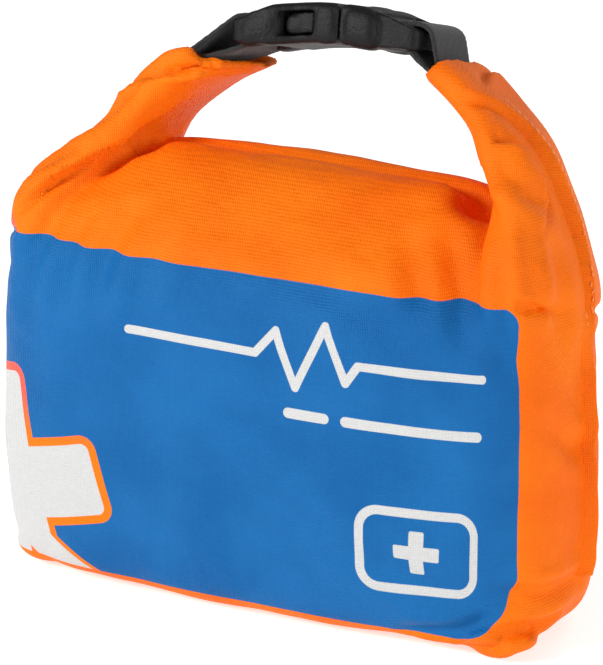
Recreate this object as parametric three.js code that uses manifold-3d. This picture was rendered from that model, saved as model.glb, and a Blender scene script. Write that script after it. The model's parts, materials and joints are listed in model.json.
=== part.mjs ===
// A small waterproof first aid kit: a soft roll-top bag, packed with its dressings and tools.
// The bag's mouth is rolled down towards the back. The two ends of the roll bend up as arms, and a
// side-release buckle clips them together, so that they make the carrying handle.
// Millimetres. +X is to the right of the bag's face, +Y to its back, +Z up. The origin is under the
// middle of the base, on the surface that the bag stands on.
import * as THREE from "three";
import { mergeVertices } from "three/addons/utils/BufferGeometryUtils.js";
import Module from "manifold-3d";

const wasm = await Module();
wasm.setup();

// ---- driving dimensions ----
const bagHalfWidth = 75;
const bagHalfDepth = 30.5;
const crownHeight = 110; // the ridge of the packed bag, under the handle
const fabric = 1.2; // coated cloth with its welded hem, as one sheet
const gap = 0.4; // between pieces that lie against each other

const handleLean = THREE.MathUtils.degToRad(18); // the handle leans to the back
const handleTilt = THREE.MathUtils.degToRad(4.8); // and its right side stands higher
const handleBase = new THREE.Vector3(0, 8, 98.5);
const armRoot = 61; // from the handle's middle to each arm's root
const cuff = new THREE.Vector2(34, 36); // where the webbing leaves the right arm

const webbingWidth = 20;
const webbingThickness = 1.2;
const buckleMiddle = new THREE.Vector2(5, 43.5);
const buckleHalfLength = 25;
const buckleThickness = 10;

// ---- materials ----
function finish(color, roughness, metalness = 0) {
  return new THREE.MeshStandardMaterial({ color, roughness, metalness });
}
const finishes = {
  orangeCloth: finish(0xff6a00, 0.6),
  blackWebbing: finish(0x17171a, 0.85),
  blackNylon: finish(0x1b1b1d, 0.45),
  clearStrip: finish(0xd9dcdd, 0.4),
  whiteGauze: finish(0xf1efe8, 0.95),
  skinBandage: finish(0xd9b48c, 0.9),
  paperPack: finish(0xf4f5f2, 0.7),
  goldFoil: finish(0xd8b25a, 0.25, 0.9),
  blueGlove: finish(0x3f74c8, 0.6),
  steel: finish(0xc3c6c9, 0.3, 1),
  tapeWhite: finish(0xeae6da, 0.8),
};

// ---- mesh tools ----
// A closed mesh from rings of points, each ring joined to the next, with flat ends.
function closedRings(rings, outline) {
  const around = rings[0].length;
  const index = [];
  for (let r = 0; r + 1 < rings.length; r++) {
    for (let k = 0; k < around; k++) {
      const a = r * around + k;
      const b = r * around + ((k + 1) % around);
      index.push(a, b, b + around, a, b + around, a + around);
    }
  }
  const last = (rings.length - 1) * around;
  for (const [a, b, c] of THREE.ShapeUtils.triangulateShape(outline, [])) {
    index.push(a, c, b, last + a, last + b, last + c);
  }
  return meshGeometry(rings.flat(), index);
}

function meshGeometry(points, index) {
  const geometry = new THREE.BufferGeometry().setFromPoints(points);
  geometry.setIndex(index);
  return geometry;
}

// A sheet of cloth: outer points from surface(u, v), u and v from 0 to 1, and inner ones one thickness in.
function clothSheet(surface, across, up, thickness) {
  const outer = [];
  const inner = [];
  const small = 1e-3;
  for (let j = 0; j <= up; j++) {
    for (let i = 0; i <= across; i++) {
      const u = i / across;
      const v = j / up;
      const middle = surface(u, v);
      const alongU = surface(Math.min(u + small, 1), v).sub(surface(Math.max(u - small, 0), v));
      const alongV = surface(u, Math.min(v + small, 1)).sub(surface(u, Math.max(v - small, 0)));
      const normal = alongU.cross(alongV).normalize();
      outer.push(middle);
      inner.push(middle.clone().addScaledVector(normal, -thickness));
    }
  }
  const row = across + 1;
  const half = outer.length;
  const index = [];
  for (let j = 0; j < up; j++) {
    for (let i = 0; i < across; i++) {
      const a = j * row + i;
      index.push(a, a + 1, a + row + 1, a, a + row + 1, a + row);
      index.push(half + a, half + a + row + 1, half + a + 1, half + a, half + a + row, half + a + row + 1);
    }
  }
  const rim = [];
  for (let i = 0; i < across; i++) rim.push(i);
  for (let j = 0; j < up; j++) rim.push(j * row + across);
  for (let i = across; i > 0; i--) rim.push(up * row + i);
  for (let j = up; j > 0; j--) rim.push(j * row);
  rim.forEach((a, k) => {
    const b = rim[(k + 1) % rim.length];
    index.push(a, half + a, half + b, a, half + b, b);
  });
  return meshGeometry([...outer, ...inner], index);
}

function solidOf(geometry) {
  const bare = geometry.clone();
  bare.deleteAttribute("normal");
  bare.deleteAttribute("uv");
  const merged = mergeVertices(bare, 1e-4);
  const mesh = new wasm.Mesh({
    numProp: 3,
    vertProperties: merged.attributes.position.array,
    triVerts: new Uint32Array(merged.index.array),
  });
  return new wasm.Manifold(mesh);
}

function geometryOf(solid) {
  const mesh = solid.getMesh();
  const geometry = new THREE.BufferGeometry();
  geometry.setAttribute("position", new THREE.BufferAttribute(mesh.vertProperties, 3));
  geometry.setIndex(new THREE.BufferAttribute(mesh.triVerts, 1));
  return geometry;
}

// Joins every solid in add, then cuts every solid in cut from it.
function carve(add, cut) {
  let solid = solidOf(add[0]);
  for (const piece of add.slice(1)) solid = solid.add(solidOf(piece));
  for (const piece of cut) solid = solid.subtract(solidOf(piece));
  return geometryOf(solid);
}

function block(low, high) {
  const size = new THREE.Vector3().subVectors(high, low);
  const middle = new THREE.Vector3().addVectors(low, high).multiplyScalar(0.5);
  return new THREE.BoxGeometry(size.x, size.y, size.z).translate(middle.x, middle.y, middle.z);
}

function span(x0, x1, y0, y1, z0, z1) {
  return block(new THREE.Vector3(x0, y0, z0), new THREE.Vector3(x1, y1, z1));
}

function roundedRectangle(halfWidth, halfHeight, radius) {
  const shape = new THREE.Shape();
  shape.moveTo(-halfWidth + radius, -halfHeight);
  shape.lineTo(halfWidth - radius, -halfHeight);
  shape.absarc(halfWidth - radius, -halfHeight + radius, radius, -Math.PI / 2, 0);
  shape.lineTo(halfWidth, halfHeight - radius);
  shape.absarc(halfWidth - radius, halfHeight - radius, radius, 0, Math.PI / 2);
  shape.lineTo(-halfWidth + radius, halfHeight);
  shape.absarc(-halfWidth + radius, halfHeight - radius, radius, Math.PI / 2, Math.PI);
  shape.lineTo(-halfWidth, -halfHeight + radius);
  shape.absarc(-halfWidth + radius, -halfHeight + radius, radius, Math.PI, 1.5 * Math.PI);
  return shape;
}

// An outline in X and Y, thick along Z about Z = 0, with rounded rims.
function slab(shape, thickness, rounding, curveSegments = 4) {
  const settings = {
    depth: thickness - 2 * rounding,
    bevelEnabled: rounding > 0,
    bevelThickness: rounding,
    bevelSize: rounding,
    bevelOffset: -rounding,
    bevelSegments: 2,
    curveSegments,
  };
  return new THREE.ExtrudeGeometry(shape, settings).translate(0, 0, -thickness / 2 + rounding);
}

function named(name, geometry, material, parent) {
  const mesh = new THREE.Mesh(geometry, material);
  mesh.name = name;
  parent.add(mesh);
  return mesh;
}

// ---- the bag's shell ----
// Height, half width, half depth and set-back of the packed bag, from its base to its ridge.
const bagStations = [
  [1.8, bagHalfWidth - 7, bagHalfDepth - 5.5, 0],
  [8, bagHalfWidth - 1.5, bagHalfDepth - 2, 0],
  [30, bagHalfWidth, bagHalfDepth, 0],
  [58, bagHalfWidth, bagHalfDepth, 0],
  [74, bagHalfWidth - 2, bagHalfDepth - 1, 0],
  [81, bagHalfWidth - 8, bagHalfDepth - 3.5, 0.5],
  [87, bagHalfWidth - 19, bagHalfDepth - 7.5, 0],
  [94, bagHalfWidth - 25, bagHalfDepth - 13, 0],
  [101, bagHalfWidth - 28, bagHalfDepth - 19.5, 0],
  [107, bagHalfWidth - 30, bagHalfDepth - 25, 1],
  [crownHeight, bagHalfWidth - 31, bagHalfDepth - 28, 2],
];
const widthCurve = new THREE.CatmullRomCurve3(bagStations.map(([h, w]) => new THREE.Vector3(h, w, 0)));
const depthCurve = new THREE.CatmullRomCurve3(bagStations.map(([, , d, s]) => new THREE.Vector3(d, s, 0)));
const boxiness = 3.4; // the exponent of the bag's section: 2 is an ellipse
const shoulders = { from: 52, tilt: 0.085 }; // the right shoulder is pulled up, and the left one down

// A point on the bag's outside. turn runs round it, 0 at the right seam and pi at the left.
function bagPoint(turn, v, outwards = 0) {
  const level = widthCurve.getPoint(v);
  const depth = depthCurve.getPoint(v);
  const c = Math.cos(turn);
  const s = Math.sin(turn);
  const x = (level.y + outwards) * Math.sign(c) * Math.abs(c) ** (2 / boxiness);
  const y = depth.y + (depth.x + outwards) * Math.sign(s) * Math.abs(s) ** (2 / boxiness);
  const pull = Math.max(0, (level.x - shoulders.from) / (crownHeight - shoulders.from));
  return new THREE.Vector3(x, y, level.x + shoulders.tilt * x * Math.sin(Math.PI * pull));
}

const seamTurn = 0.0004; // the panels stop this far, in radians, short of the side seams
function bagPanel(side) {
  const from = side === "front" ? -Math.PI + seamTurn : seamTurn;
  const to = side === "front" ? -seamTurn : Math.PI - seamTurn;
  return clothSheet((u, v) => bagPoint(from + u * (to - from), v), 28, 18, fabric);
}

const baseHalfWidth = 66;
const baseHalfDepth = 23;
function basePanel() {
  return slab(roundedRectangle(baseHalfWidth, baseHalfDepth, 12), fabric, 0).translate(0, 0, fabric / 2);
}

// The pressed seam allowance down a side, as seen on the right: a fin that stands out of the cloth.
const seamFin = { from: 0.13, to: 0.43, width: 4, thickness: 1.6, steps: 10 };
function sideSeam(way) {
  const inner = [];
  const outer = [];
  for (let n = 0; n <= seamFin.steps; n++) {
    const t = n / seamFin.steps;
    const point = bagPoint(way > 0 ? 0 : Math.PI, seamFin.from + t * (seamFin.to - seamFin.from), gap);
    inner.push(new THREE.Vector2(way * point.x, point.z));
    outer.unshift(new THREE.Vector2(way * point.x + seamFin.width * Math.sin(Math.PI * t) ** 0.3, point.z));
  }
  const shape = new THREE.Shape([...outer.slice(1, -1), ...inner]);
  const fin = new THREE.ExtrudeGeometry(shape, { depth: seamFin.thickness, bevelEnabled: false });
  return fin.rotateX(Math.PI / 2).translate(0, seamFin.thickness / 2, 0);
}

// ---- the roll ----
// The outline of a sheet, seen edge-on, from the line down its middle.
function ribbon(centreline, thickness) {
  const left = [];
  const right = [];
  centreline.forEach((p, i) => {
    const ahead = centreline[Math.min(i + 1, centreline.length - 1)];
    const behind = centreline[Math.max(i - 1, 0)];
    const along = new THREE.Vector2().subVectors(ahead, behind).normalize();
    const across = new THREE.Vector2(-along.y, along.x).multiplyScalar(thickness / 2);
    left.push(p.clone().add(across));
    right.push(p.clone().sub(across));
  });
  const outline = [...right, ...left.reverse()];
  return THREE.ShapeUtils.isClockWise(outline) ? outline.reverse() : outline;
}

// Points along straight runs at the given levels, with a half turn from each to the next.
function foldedLine(halfLength, levels, firstEnd, lastEnd, steps) {
  const line = [new THREE.Vector2(firstEnd, levels[0])];
  for (let k = 0; k + 1 < levels.length; k++) {
    const side = k % 2 ? -1 : 1;
    const radius = (levels[k] - levels[k + 1]) / 2;
    const middle = (levels[k] + levels[k + 1]) / 2;
    for (let n = 0; n <= steps; n++) {
      const turn = (Math.PI * n) / steps;
      const x = side * (halfLength + Math.abs(radius) * Math.sin(turn));
      line.push(new THREE.Vector2(x, middle + radius * Math.cos(turn)));
    }
  }
  line.push(new THREE.Vector2(lastEnd, levels[levels.length - 1]));
  return line;
}

// Cloth rolled flat round a slot: each run is one pitch further out than the last on its side.
const slotHalfHeight = 1.8;
const rollRuns = 3;
const rollTurn = slotHalfHeight + fabric + (rollRuns - 1) * 1.05; // the last half turn, past the slot's end
function flatRoll(halfWidth, pitch = 2, runs = rollRuns) {
  const levels = [];
  for (let k = 0; k <= runs; k++) {
    levels.push((k % 2 ? -1 : 1) * (slotHalfHeight + fabric / 2 + (k * pitch) / 2));
  }
  const bend = halfWidth - rollTurn;
  return ribbon(foldedLine(bend, levels, -bend, (runs % 2 ? -0.4 : 0.4) * bend, 4), fabric);
}

// An arm of the handle follows this line, from its root up and in to its cuff.
const armLine = new THREE.CatmullRomCurve3([
  new THREE.Vector3(armRoot + 1, 0, -3),
  new THREE.Vector3(armRoot, 0, 3),
  new THREE.Vector3(57, 0, 13),
  new THREE.Vector3(48, 0, 25),
  new THREE.Vector3(cuff.x, 0, cuff.y),
]);
const armWidth = { root: 19, cuff: 16 }; // half widths

// A section, given across the arm and through it, carried along part of the arm's line.
function alongArm(sectionAt, from, to, steps) {
  const rings = [];
  let outline = null;
  for (let n = 0; n <= steps; n++) {
    const t = from + ((to - from) * n) / steps;
    const place = armLine.getPointAt(t);
    const along = armLine.getTangentAt(t);
    const outwards = new THREE.Vector3(along.z, 0, -along.x);
    const section = sectionAt(t);
    outline = outline || section;
    rings.unshift(section.map((p) => place.clone().addScaledVector(outwards, p.y).setY(p.x)));
  }
  return closedRings(rings, outline);
}

function armRoll() {
  const halfWidth = (t) => THREE.MathUtils.lerp(armWidth.root, armWidth.cuff, t);
  const pitch = (t) => THREE.MathUtils.lerp(3.4, 2, t);
  return alongArm((t) => flatRoll(halfWidth(t), pitch(t)), 0, 1, 10);
}

// The stiff strip sewn into the bag's mouth, which the roll is wound round.
const stripHalfThickness = 0.7;
function stripSection(rollHalfWidth) {
  return roundedRectangle(rollHalfWidth - rollTurn, stripHalfThickness, 0.3).getPoints(1).slice(0, -1);
}

function armStrip() {
  return alongArm(() => stripSection(armWidth.cuff), 0.06, 0.6, 6);
}

const topRoll = { halfLength: 42, halfWidth: 12.5, middle: new THREE.Vector3(0, 21, 100.5), slope: -0.7 };
function lengthwise(outline, halfLength) {
  const rings = [-halfLength, halfLength].map((x) => outline.map((p) => new THREE.Vector3(x, p.x, p.y)));
  return closedRings(rings, outline);
}

// ---- the buckle, in the handle's plane: X along the webbing, Y across it, Z through it ----
const mouth = 4; // where the two halves meet, from the buckle's middle
const channel = { halfWidth: 10.6, halfHeight: 3, depth: 13.5 };
const side = { window: -12.6, collar: -2.6, reach: 7 };

function femaleOutline() {
  const shape = new THREE.Shape();
  shape.moveTo(-buckleHalfLength, -10);
  shape.quadraticCurveTo(-buckleHalfLength, -13, -buckleHalfLength + 4, -13);
  shape.lineTo(-15.5, -13.4);
  shape.quadraticCurveTo(-12, -13.2, -8.5, -12);
  shape.quadraticCurveTo(-4.5, -12.3, side.collar, -13.4);
  shape.lineTo(mouth, -13.4);
  shape.lineTo(mouth, 13.4);
  shape.lineTo(side.collar, 13.4);
  shape.quadraticCurveTo(-4.5, 12.3, -8.5, 12);
  shape.quadraticCurveTo(-12, 13.2, -15.5, 13.4);
  shape.lineTo(-buckleHalfLength + 4, 13);
  shape.quadraticCurveTo(-buckleHalfLength, 13, -buckleHalfLength, 10);
  return shape;
}

// A wedge that thins the end of a half towards its bar, on the outer or the inner side.
function endWedge(from, to, up) {
  const low = buckleThickness / 2 + 1;
  const profile = new THREE.Shape();
  profile.moveTo(from, (up * buckleThickness) / 2);
  profile.lineTo(to, up * 2.3);
  profile.lineTo(to + Math.sign(to), up * 2.3);
  profile.lineTo(to + Math.sign(to), up * low);
  profile.lineTo(from, up * low);
  const wedge = new THREE.ExtrudeGeometry(profile, { depth: 40, bevelEnabled: false });
  return wedge.rotateX(Math.PI / 2).translate(0, 20, 0);
}

function buckleFemale() {
  const body = slab(femaleOutline(), buckleThickness, 1.4);
  const end = -buckleHalfLength;
  return carve(
    [body],
    [
      span(
        -channel.depth,
        mouth + 1,
        -channel.halfWidth,
        channel.halfWidth,
        -channel.halfHeight,
        channel.halfHeight,
      ),
      span(side.window, side.collar, -20, -side.reach, -3, 3),
      span(side.window, side.collar, side.reach, 20, -3, 3),
      span(end + 2.6, -17.2, -10.6, 10.6, -8, 8),
      endWedge(-14, end, 1),
      endWedge(-14, end, -1),
    ],
  );
}

function maleOutline() {
  const root = mouth + 0.3;
  const shape = new THREE.Shape();
  shape.moveTo(root, -13.2);
  shape.lineTo(root + 5, -13.2);
  shape.quadraticCurveTo(root + 8, -13, root + 10, -12);
  shape.lineTo(buckleHalfLength - 3, -12);
  shape.quadraticCurveTo(buckleHalfLength, -12, buckleHalfLength, -9);
  shape.lineTo(buckleHalfLength, 9);
  shape.quadraticCurveTo(buckleHalfLength, 12, buckleHalfLength - 3, 12);
  shape.lineTo(root + 10, 12);
  shape.quadraticCurveTo(root + 8, 13, root + 5, 13.2);
  shape.lineTo(root, 13.2);
  return shape;
}

const tongue = { halfWidth: 2.4, halfThickness: 2.4, length: 13.5 };
function buckleMale() {
  const body = slab(maleOutline(), buckleThickness, 1.4);
  const { halfWidth, halfThickness, length } = tongue;
  const guide = span(mouth - length, mouth + 2, -halfWidth, halfWidth, -halfThickness, halfThickness);
  return carve(
    [body, guide],
    [
      endWedge(10, buckleHalfLength, 1),
      endWedge(10, buckleHalfLength, -1),
      span(13.6, 16.6, -10.4, 10.4, -8, 8),
      span(18.8, buckleHalfLength - 2.6, -10.4, 10.4, -8, 8),
    ],
  );
}

// A springy prong of the male half, on the front side of the buckle, with its press pad in the window.
const prong = { root: mouth + 0.05, halfThickness: 2.5 };
function buckleProng() {
  const shape = new THREE.Shape();
  shape.moveTo(prong.root, -9.9);
  shape.lineTo(side.collar - 0.4, -9.9);
  shape.lineTo(side.collar - 0.4, -12);
  shape.quadraticCurveTo(-7, -12.2, -9.2, -10.6);
  shape.quadraticCurveTo(-11.8, -9, -11.6, -7.4);
  shape.lineTo(-10.4, -7.2);
  shape.quadraticCurveTo(-5.5, -8.2, side.collar, -7.7);
  shape.lineTo(prong.root, -7.5);
  return slab(shape, 2 * prong.halfThickness, 0);
}

// Webbing doubled round a buckle's end bar, with both layers sewn into the arm's cuff.
const bar = { inset: 1.3, clear: 3.3, height: buckleMiddle.y }; // the bar's middle is inset from the end
function webbingLoop(barX) {
  const place = armLine.getPointAt(0.74);
  const along = armLine.getTangentAt(0.74);
  const seam = new THREE.Vector2(0.15, webbingThickness + 0.15); // each layer's two faces, from the middle
  const tail = (offset) => new THREE.Vector2(place.x + along.z * offset, place.z - along.x * offset);
  const mouthAlong = armLine.getTangentAt(1);
  const throat = (offset) => new THREE.Vector2(cuff.x + mouthAlong.z * offset, cuff.y - mouthAlong.x * offset);
  const touch = (from, radius, way) => {
    const reach = new THREE.Vector2(from.x - barX, from.y - bar.height);
    return reach.angle() + way * Math.acos(radius / reach.length());
  };
  const outer = bar.clear + webbingThickness;
  const path = new THREE.Shape([tail(seam.y), throat(seam.y)]);
  path.absarc(barX, bar.height, outer, touch(throat(seam.y), outer, 1), touch(throat(-seam.y), outer, -1));
  for (const p of [throat(-seam.y), tail(-seam.y), tail(-seam.x), throat(-seam.x)]) path.lineTo(p.x, p.y);
  const inner = [touch(throat(-seam.x), bar.clear, -1), touch(throat(seam.x), bar.clear, 1)];
  path.absarc(barX, bar.height, bar.clear, inner[0], inner[1], true);
  for (const p of [throat(seam.x), tail(seam.x)]) path.lineTo(p.x, p.y);
  const strap = new THREE.ExtrudeGeometry(path, { depth: webbingWidth, bevelEnabled: false, curveSegments: 12 });
  return strap.rotateX(Math.PI / 2).translate(0, webbingWidth / 2, 0);
}

// ---- what the bag holds ----
// A lathe profile that is the same at both ends, from its upper half, given from the axis outwards.
function bothEnds(upper) {
  const lower = upper.map(([r, y]) => new THREE.Vector2(r, -y));
  return [...lower, ...upper.map(([r, y]) => new THREE.Vector2(r, y)).reverse()];
}

function gauzeRoll(radius, length) {
  const end = length / 2;
  const half = [
    [0, end - 1.5],
    [2, end - 1.5],
    [2.5, end],
    [radius - 1, end],
    [radius, end - 1],
  ];
  return new THREE.LatheGeometry(bothEnds(half), 20).rotateZ(Math.PI / 2);
}

function ring(outer, inner, width) {
  const shape = new THREE.Shape().absarc(0, 0, outer, 0, 2 * Math.PI);
  shape.holes.push(new THREE.Path().absarc(0, 0, inner, 0, 2 * Math.PI));
  const settings = { depth: width, bevelEnabled: false, curveSegments: 12 };
  return new THREE.ExtrudeGeometry(shape, settings).translate(0, 0, -width / 2).rotateX(Math.PI / 2);
}

// A sealed pack standing in the X-Z plane: a padded middle inside a flat crimped rim.
function sealedPack(width, height, thickness, rim = 5) {
  const middle = slab(roundedRectangle(width / 2 - rim, height / 2 - rim, 3), thickness, 2, 2);
  const flange = slab(roundedRectangle(width / 2, height / 2, 1), 0.8, 0, 1);
  return carve([middle, flange], []).rotateX(Math.PI / 2);
}

// A sheet folded to and fro, standing on its folded edges: its layers lie one behind another.
function foldedSheet(width, height, layers, pitch, thickness) {
  const levels = [];
  for (let k = 0; k < layers; k++) levels.push((k - (layers - 1) / 2) * pitch);
  const bend = height / 2 - pitch / 2 - thickness / 2;
  const outline = ribbon(foldedLine(bend, levels, -bend, (layers % 2 ? 1 : -1) * bend, 3), thickness);
  return lengthwise(outline, width / 2).rotateX(Math.PI / 2);
}

function tweezers(length, spread, thickness) {
  const shape = new THREE.Shape();
  shape.moveTo(length, spread);
  shape.quadraticCurveTo(length * 0.5, spread + 1.6, 0, 1.4);
  shape.lineTo(0, -1.4);
  shape.quadraticCurveTo(length * 0.5, -spread - 1.6, length, -spread);
  shape.lineTo(length, -spread + 1);
  shape.quadraticCurveTo(length * 0.5, -spread - 0.2, 8, 0);
  shape.quadraticCurveTo(length * 0.5, spread + 0.2, length, spread - 1);
  return slab(shape, thickness, 0, 6).rotateX(Math.PI / 2);
}

const scissors = { blade: 36, shank: 26, eye: 7.5, eyeWall: 2, plate: 1.3, rivet: 2 };
function scissorsBlade() {
  const eyeX = -scissors.shank - scissors.eye;
  const eyeZ = -scissors.eye - 1;
  const blade = new THREE.Shape();
  blade.moveTo(scissors.blade, -0.4);
  blade.quadraticCurveTo(scissors.blade * 0.6, 5.4, 2, 4.4);
  blade.quadraticCurveTo(-4, 4, -8, -0.4);
  blade.lineTo(-scissors.shank - 1, eyeZ + 3.5);
  blade.lineTo(-scissors.shank - 1, eyeZ - 0.5);
  blade.lineTo(-10, -5);
  blade.quadraticCurveTo(-2, -4.6, 2, -3.4);
  blade.lineTo(scissors.blade * 0.8, -1.6);
  const eye = ring(scissors.eye, scissors.eye - scissors.eyeWall, scissors.plate).scale(1.15, 1, 1);
  const rivetHole = ring(scissors.rivet + 0.1, 0.5, 4);
  const plate = slab(blade, scissors.plate, 0, 6).rotateX(Math.PI / 2);
  return carve([plate, eye.translate(eyeX, 0, eyeZ)], [rivetHole, span(-0.8, 0.8, -2, 2, -0.8, 0.8)]);
}

// A pin along Y with a head at each end, through two plates that lie a little apart.
function rivet(radius, headRadius, grip) {
  const profile = [
    [0, grip / 2 + 1],
    [headRadius - 0.6, grip / 2 + 1],
    [headRadius, grip / 2 + 0.3],
    [headRadius, grip / 2],
    [radius, grip / 2],
  ];
  return new THREE.LatheGeometry(bothEnds(profile), 16);
}

// ---- the kit ----
const kit = new THREE.Group();
const handle = new THREE.Group();
handle.position.copy(handleBase);
handle.rotation.set(-handleLean, -handleTilt, 0);
kit.add(handle);

named("front_panel", bagPanel("front"), finishes.orangeCloth, kit);
named("back_panel", bagPanel("back"), finishes.orangeCloth, kit);
named("base_panel", basePanel(), finishes.orangeCloth, kit);

const roll = new THREE.Group();
roll.position.copy(topRoll.middle);
roll.rotation.x = topRoll.slope;
kit.add(roll);
const topStrip = lengthwise(stripSection(topRoll.halfWidth), topRoll.halfLength);
named("top_roll", lengthwise(flatRoll(topRoll.halfWidth), topRoll.halfLength), finishes.orangeCloth, roll);
named("top_mouth_strip", topStrip, finishes.clearStrip, roll);

for (const [sideName, way] of [["right", 1], ["left", -1]]) {
  const barX = way * buckleMiddle.x + buckleHalfLength - bar.inset;
  named(`${sideName}_side_seam`, sideSeam(way), finishes.orangeCloth, kit).scale.x = way;
  named(`${sideName}_arm_roll`, armRoll(), finishes.orangeCloth, handle).scale.x = way;
  named(`${sideName}_mouth_strip`, armStrip(), finishes.clearStrip, handle).scale.x = way;
  named(`${sideName}_webbing`, webbingLoop(barX), finishes.blackWebbing, handle).scale.x = way;
}

const buckle = new THREE.Group();
buckle.position.set(buckleMiddle.x, 0, buckleMiddle.y);
handle.add(buckle);
named("buckle_female", buckleFemale(), finishes.blackNylon, buckle);
named("buckle_male", buckleMale(), finishes.blackNylon, buckle);
named("buckle_prong_front", buckleProng(), finishes.blackNylon, buckle);
named("buckle_prong_back", buckleProng(), finishes.blackNylon, buckle).scale.y = -1;

named("gauze_bandage_wide", gauzeRoll(16.5, 52), finishes.whiteGauze, kit).position.set(-30, -7, 20.5);
named("gauze_bandage_narrow", gauzeRoll(13.5, 38), finishes.whiteGauze, kit).position.set(18, -12, 17.5);
named("tape_core", ring(9, 8, 12.5), finishes.paperPack, kit).position.set(54, -9, 17.5);
named("tape_winding", ring(13.5, 9.15, 12.5), finishes.tapeWhite, kit).position.set(54, -9, 17.5);
named("triangular_bandage", foldedSheet(84, 54, 5, 1.4, 0.9), finishes.skinBandage, kit).position.set(-16, 15, 32);
named("gloves_pack", sealedPack(26, 54, 9, 3), finishes.blueGlove, kit).position.set(45, 13, 32);
named("compress_pack_large", sealedPack(84, 36, 6), finishes.paperPack, kit).position.set(-4, -17.5, 59);
named("compress_pack_small", sealedPack(72, 36, 6), finishes.paperPack, kit).position.set(-6, -10, 59);
named("rescue_blanket", foldedSheet(78, 42, 8, 1.3, 0.9), finishes.goldFoil, kit).position.set(-2, 1, 65);
named("plaster_pack", sealedPack(56, 24, 4, 3), finishes.paperPack, kit).position.set(-6, 13.5, 74);
named("leaflet", foldedSheet(70, 50, 3, 0.7, 0.3), finishes.paperPack, kit).position.set(0, 26, 45);
named("tweezers", tweezers(66, 3, 6), finishes.steel, kit).position.set(0, -8, 37);

const cutter = new THREE.Group();
cutter.position.set(6, 22, 46);
kit.add(cutter);
const plateOffset = scissors.plate / 2 + 0.15;
named("scissors_blade_back", scissorsBlade(), finishes.steel, cutter).position.y = plateOffset;
const frontBlade = named("scissors_blade_front", scissorsBlade(), finishes.steel, cutter);
frontBlade.position.y = -plateOffset;
frontBlade.scale.z = -1;
named("scissors_rivet", rivet(scissors.rivet, 3.2, 2 * scissors.plate + 0.6), finishes.steel, cutter);

export default kit;
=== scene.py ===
# A small waterproof first aid kit: an orange roll-top bag with a printed face, whose rolled ends
# bend up and clip together as its handle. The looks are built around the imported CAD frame.
import json
import math

import bmesh
import bpy
import numpy as np
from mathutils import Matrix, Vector, noise


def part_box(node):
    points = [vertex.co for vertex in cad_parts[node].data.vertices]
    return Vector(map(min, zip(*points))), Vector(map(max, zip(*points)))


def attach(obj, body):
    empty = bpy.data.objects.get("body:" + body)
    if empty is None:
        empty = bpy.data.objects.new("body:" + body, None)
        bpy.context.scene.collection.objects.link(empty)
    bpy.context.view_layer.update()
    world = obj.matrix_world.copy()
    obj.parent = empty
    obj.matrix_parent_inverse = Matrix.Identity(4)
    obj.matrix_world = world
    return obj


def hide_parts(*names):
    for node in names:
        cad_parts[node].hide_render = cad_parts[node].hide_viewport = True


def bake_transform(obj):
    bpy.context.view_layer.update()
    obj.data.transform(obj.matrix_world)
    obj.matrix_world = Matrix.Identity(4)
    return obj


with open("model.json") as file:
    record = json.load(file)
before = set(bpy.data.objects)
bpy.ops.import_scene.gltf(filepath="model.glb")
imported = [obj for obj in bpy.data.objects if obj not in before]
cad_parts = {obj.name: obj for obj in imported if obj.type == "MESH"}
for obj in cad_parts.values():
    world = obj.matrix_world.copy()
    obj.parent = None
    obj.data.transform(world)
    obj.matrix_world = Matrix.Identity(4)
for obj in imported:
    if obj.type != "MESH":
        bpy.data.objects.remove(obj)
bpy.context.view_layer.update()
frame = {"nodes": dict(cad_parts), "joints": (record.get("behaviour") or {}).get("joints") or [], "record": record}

MM = 0.001
SAMPLES = 48  # points that a pressed line is divided into
OUTSIDE = 0.12  # a distance, in metres, that is outside the bag
joints = {j["name"]: j for j in frame["joints"]}

# The handle's own directions: along the buckle, across the handle to the back, and outwards.
male_pivot, female_pivot = (Vector(joints[n]["pos_m"]) for n in ("male_tilt", "female_tilt"))
ALONG = (male_pivot - female_pivot).normalized()
ACROSS = Vector(joints["right_arm_swing"]["axis"])
OUTWARDS = ALONG.cross(ACROSS)
buckle_low, buckle_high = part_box("buckle_female")
male_low, male_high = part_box("buckle_male")
BUCKLE_MIDDLE = (Vector(map(min, buckle_low, male_low)) + Vector(map(max, buckle_high, male_high))) / 2


# ---------------------------------------------------------------- meshes
def piece(name, bm):
    """A finished mesh at the origin, smooth shaded."""
    mesh = bpy.data.meshes.new(name)
    bm.to_mesh(mesh)
    bm.free()
    mesh.shade_smooth()
    made = bpy.data.objects.new(name, mesh)
    bpy.context.scene.collection.objects.link(made)
    return made


def modified(source, name):
    """A new object holding the source's mesh with its modifiers applied; the source goes."""
    depsgraph = bpy.context.evaluated_depsgraph_get()
    mesh = bpy.data.meshes.new_from_object(source.evaluated_get(depsgraph))
    made = bpy.data.objects.new(name, mesh)
    mesh.name = name
    mesh.shade_smooth()
    bpy.context.scene.collection.objects.link(made)
    bpy.data.objects.remove(source)
    return made


def fused(bm, name, voxel, rounds):
    """The closed forms in bm as one skin, made even at that voxel size and softened that many rounds."""
    bmesh.ops.recalc_face_normals(bm, faces=bm.faces)
    raw = piece("raw_" + name, bm)
    remesh = raw.modifiers.new("Remesh", "REMESH")
    remesh.mode = "VOXEL"
    remesh.voxel_size = voxel * MM
    smooth = raw.modifiers.new("Smooth", "SMOOTH")
    smooth.factor = 0.5
    smooth.iterations = rounds
    return modified(raw, name)


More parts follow.
